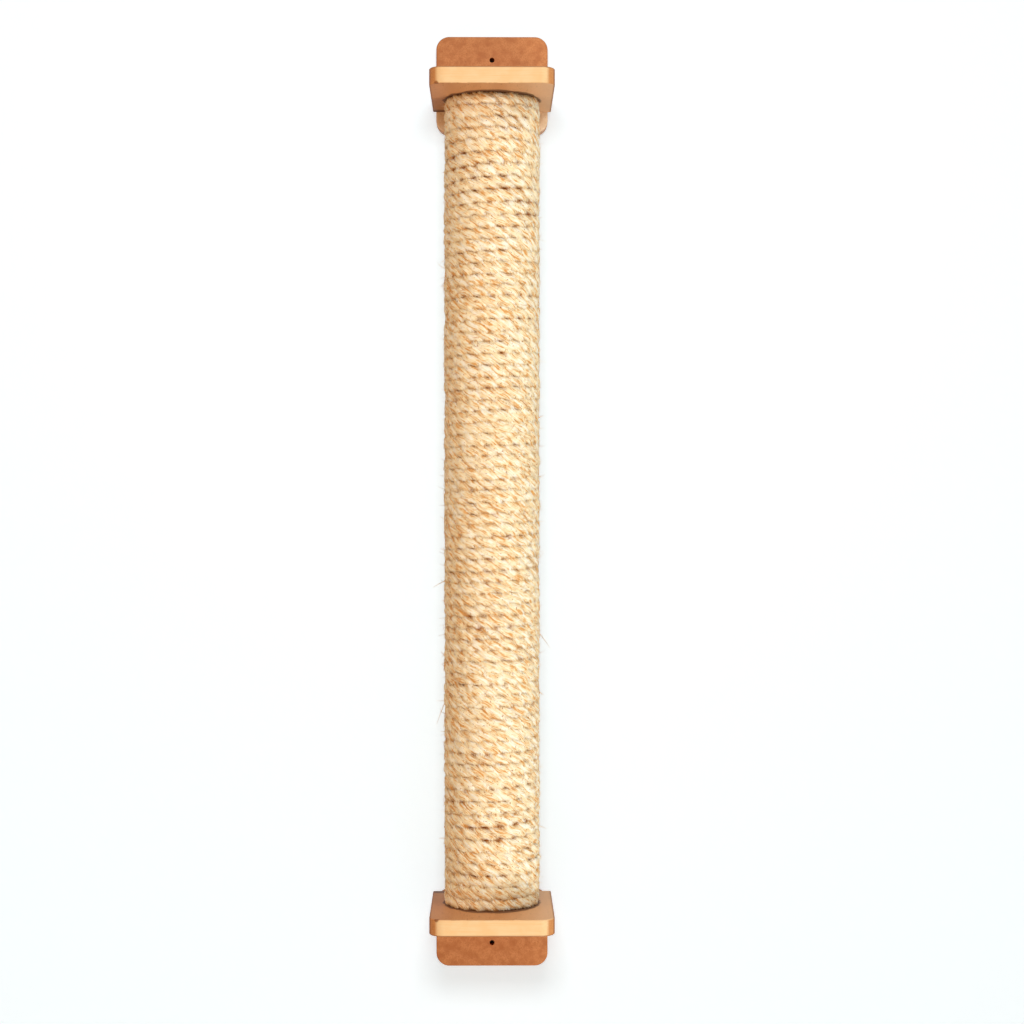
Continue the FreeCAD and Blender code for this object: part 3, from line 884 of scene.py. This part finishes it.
# The setting with each lamp's power, its place and size in metres, whether it leaves the wall out, and
# the setting with its colour
LAMPS = (
    ("key", (0.0, -2.1, 0.7), (0.5, 0.3), False, None),
    ("upper_side", (0.95, -1.15, 1.2), (0.6, 0.6), True, None),
    ("lower_side", (0.95, -1.15, -1.2), (0.6, 0.6), True, None),
    ("warm_fill", (-2.0, -1.5, 0.0), (0.8, 0.8), True, "warm"),
)


def stage_sheet(name, corners, material):
    """A flat rectangle of the stage from its four corners."""
    mesh = bpy.data.meshes.new(name)
    mesh.from_pydata(corners, [], [(0, 1, 2, 3)])
    mesh.materials.append(material)
    sheet = bpy.data.objects.new(name, mesh)
    bpy.context.scene.collection.objects.link(sheet)
    return sheet


def wall_paint(stage):
    """Matt white wall paint that takes the post's soft shadow, with a painted shade, a dark disc, behind each
    hole.

    Only the camera sees the wall, and only from its front. Other light passes, so that the back of the
    post is lit too, except at the dark discs, which block it.
    """
    material, tree = blank_material("matt_wall_paint")
    light = add(tree, "LightPath").node.outputs
    place = add(tree, "TexCoord", output="Object")
    parts = add(tree, "SeparateXYZ", {0: place}).node.outputs
    height = add(tree, "Math", {0: parts[2]}, operation="ABSOLUTE")
    upright = add(tree, "CombineXYZ", {0: parts[0], 2: height})
    away = add(tree, "VectorMath", {0: upright, 1: (0, 0, HOLE_HEIGHT)}, output="Value", operation="DISTANCE")
    hole_shade = add(tree, "Math", {0: away, 1: 2 * HOLE_RADIUS}, operation="LESS_THAN")
    seen = add(tree, "Math", {0: light["Is Camera Ray"], 1: hole_shade}, operation="MAXIMUM")
    behind = add(tree, "NewGeometry", output="Backfacing")
    solid = add(tree, "Math", {0: seen, 1: behind}, operation="SUBTRACT", use_clamp=True)
    tone = add(tree, "Mix", {0: hole_shade, 6: stage.wall, 7: stage.hole_shade}, **BLEND)
    paint = add(tree, "BsdfDiffuse", {0: tone})
    glow = add(tree, "Emission", {0: tone, 1: stage.wall_glow})
    lit = add(tree, "AddShader", {0: paint, 1: glow})
    clear = add(tree, "BsdfTransparent")
    add(tree, "OutputMaterial", {0: add(tree, "MixShader", {0: solid, 1: clear, 2: lit})})
    return material


def floor_paint(stage):
    """Pale matt floor, faintly mottled like sealed concrete, in patches 0.4 m across."""
    material, tree = blank_material("pale_sealed_floor")
    place = add(tree, "TexCoord", output="Object")
    tone, _ = mottle(
        tree, place, stage.floor, stage.floor_dull, 0.4, (0.3, 0.7), detail=3.0, share=0.04)
    shader = add(tree, "BsdfPrincipled", {"Base Color": tone, "Roughness": 0.7})
    add(tree, "OutputMaterial", {0: shader})
    return material


def lamp(name, place, size, power, tint, left_out):
    """An area lamp that faces the middle of the post, and keeps its light off the sheets left out."""
    data = bpy.data.lights.new(name, "AREA")
    data.energy = power
    data.color = tint[:3]
    data.shape = "RECTANGLE"
    data.size, data.size_y = size
    item = bpy.data.objects.new(name, data)
    item.location = place
    direction = Vector((0, AXIS_Y, 0)) - Vector(place)
    item.rotation_euler = direction.to_track_quat("-Z", "Y").to_euler()
    bpy.context.scene.collection.objects.link(item)
    if left_out:
        unlit = bpy.data.collections.new(name + "_leaves_out")
        for sheet in left_out:
            unlit.objects.link(sheet)
        for link in unlit.collection_objects:
            link.light_linking.link_state = "EXCLUDE"
        item.light_linking.receiver_collection = unlit


def studio_sky(stage):
    """Even light from all round. What looks at it directly, or in a mirror, sees plain white."""
    world = bpy.data.worlds.new("studio")
    world.use_nodes = True
    tree = world.node_tree
    tree.nodes.clear()
    light = add(tree, "LightPath").node.outputs
    seen = add(tree, "Math", {0: light["Is Camera Ray"], 1: light["Is Glossy Ray"]}, operation="MAXIMUM")
    seen = add(tree, "Math", {0: seen, 1: light["Is Transmission Ray"]}, operation="MAXIMUM")
    strength = add(tree, "MapRange", {0: seen, 3: stage.sky, 4: 1.0})
    tone = add(tree, "Mix", {0: seen, 6: stage.sky_tint, 7: WHITE}, **BLEND)
    sky = add(tree, "Background", {0: tone, 1: strength})
    add(tree, "OutputWorld", {0: sky})
    bpy.context.scene.world = world


def photo_camera(stage):
    """A camera square to the wall in front of the post, turned a little to the right and down."""
    data = bpy.data.cameras.new("photo_camera")
    data.lens = stage.focal_length
    data.sensor_width = SENSOR_WIDTH
    data.clip_start, data.clip_end = CAMERA_REACH
    camera = bpy.data.objects.new("photo_camera", data)
    camera.location = (0.0, SHELF_LOW.y - stage.camera_gap, 0.0)
    camera.rotation_euler = (math.pi / 2 - CAMERA_DIP, 0.0, -CAMERA_TURN)
    bpy.context.scene.collection.objects.link(camera)
    bpy.context.scene.camera = camera


# ---- Operators ----

class POST_OT_finish_boards(bpy.types.Operator):
    """Stain the shelves and wall plates"""

    bl_idname = "scratching_post.finish_boards"
    bl_label = "Finish boards"

    def execute(self, context):
        boards = context.scene.post_boards
        dress([end + "_shelf_plate" for end in ENDS], stained_shelf(boards))
        dress([end + "_wall_plate" for end in ENDS], stained_plate(boards))
        return {"FINISHED"}


class POST_OT_wind_rope(bpy.types.Operator):
    """Wind the three-strand sisal rope round the tube"""

    bl_idname = "scratching_post.wind_rope"
    bl_label = "Wind rope"

    def execute(self, context):
        rope = context.scene.post_rope
        material = sisal_rope(rope)
        for index in range(STRANDS):
            rope_strand(rope, index, material)
        return {"FINISHED"}


class POST_OT_raise_fibres(bpy.types.Operator):
    """Raise loose fibres on the rope and fray its cut ends"""

    bl_idname = "scratching_post.raise_fibres"
    bl_label = "Raise fibres"

    def execute(self, context):
        rope = context.scene.post_rope
        fibres = context.scene.post_fibres
        material = loose_sisal(fibres)
        lying_fibres(rope, fibres, material)
        standing_fibres(rope, fibres, material)
        stray_fibres(fibres, material)
        frayed_ends(rope, fibres, material)
        return {"FINISHED"}


class POST_OT_finish_core(bpy.types.Operator):
    """Finish the paper tube and its two pine plugs"""

    bl_idname = "scratching_post.finish_core"
    bl_label = "Finish tube and plugs"

    def execute(self, context):
        core = context.scene.post_core
        dress(["core_tube"], kraft_tube(core))
        dress([end + "_end_plug" for end in ENDS], turned_pine(core))
        return {"FINISHED"}


class POST_OT_plate_fasteners(bpy.types.Operator):
    """Plate the screws and staples"""

    bl_idname = "scratching_post.plate_fasteners"
    bl_label = "Plate fasteners"

    def execute(self, context):
        steel = context.scene.post_steel
        spangle = steel.spangle
        screws = plated_steel("zinc_plated_steel", steel.zinc, steel.zinc_dull, spangle, roughness=0.32)
        staples = plated_steel("galvanised_wire", steel.wire, steel.wire_dull, spangle, roughness=0.45)
        for end in ENDS:
            dress([end + "_plug_screws", end + "_plate_screws"], screws)
            dress([end + "_tube_staples", end + "_rope_staple"], staples)
        return {"FINISHED"}


class POST_OT_set_stage(bpy.types.Operator):
    """Set the wall, floor, lamps and camera"""

    bl_idname = "scratching_post.set_stage"
    bl_label = "Set stage"

    def execute(self, context):
        stage = context.scene.post_stage
        half = STAGE_HALF
        wall = stage_sheet("wall", [
            (-half, WALL_GAP, FLOOR_Z), (half, WALL_GAP, FLOOR_Z),
            (half, WALL_GAP, half), (-half, WALL_GAP, half),
        ], wall_paint(stage))
        stage_sheet("floor", [
            (-half, -half, FLOOR_Z), (half, -half, FLOOR_Z),
            (half, half, FLOOR_Z), (-half, half, FLOOR_Z),
        ], floor_paint(stage))
        for setting, place, size, leaves_wall, warmth in LAMPS:
            tint = getattr(stage, warmth) if warmth else WHITE
            left_out = [wall] if leaves_wall else []
            lamp(setting + "_lamp", place, size, getattr(stage, setting), tint, left_out)
        studio_sky(stage)
        photo_camera(stage)
        context.scene.view_settings.view_transform = "Standard"
        return {"FINISHED"}


class POST_PT_sidebar(bpy.types.Panel):
    """Lists the steps and their settings"""

    bl_idname = "POST_PT_sidebar"
    bl_label = "Scratching Post"
    bl_space_type = "VIEW_3D"
    bl_region_type = "UI"
    bl_category = "Scratching Post"

    def draw(self, context):
        for name, (settings, step) in STEPS.items():
            box = self.layout.box()
            box.operator(step.bl_idname)
            for field in settings.__annotations__:
                box.prop(getattr(context.scene, name), field)


# The settings' name on the scene, their class and the step that uses them, in the order of the steps
STEPS = {
    "post_boards": (BoardSettings, POST_OT_finish_boards),
    "post_rope": (RopeSettings, POST_OT_wind_rope),
    "post_fibres": (FibreSettings, POST_OT_raise_fibres),
    "post_core": (CoreSettings, POST_OT_finish_core),
    "post_steel": (SteelSettings, POST_OT_plate_fasteners),
    "post_stage": (StageSettings, POST_OT_set_stage),
}


def register():
    """Add the settings, the steps and the sidebar to Blender."""
    for name, (settings, step) in STEPS.items():
        bpy.utils.register_class(settings)
        bpy.utils.register_class(step)
        setattr(bpy.types.Scene, name, bpy.props.PointerProperty(type=settings))
    bpy.utils.register_class(POST_PT_sidebar)


def unregister():
    """Take them out again, in the opposite order."""
    bpy.utils.unregister_class(POST_PT_sidebar)
    for name, (settings, step) in reversed(STEPS.items()):
        delattr(bpy.types.Scene, name)
        bpy.utils.unregister_class(step)
        bpy.utils.unregister_class(settings)


def main():
    """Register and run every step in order."""
    register()
    for _, step in STEPS.values():
        area, name = step.bl_idname.split(".")
        getattr(getattr(bpy.ops, area), name)()


if __name__ == "__main__":
    main()
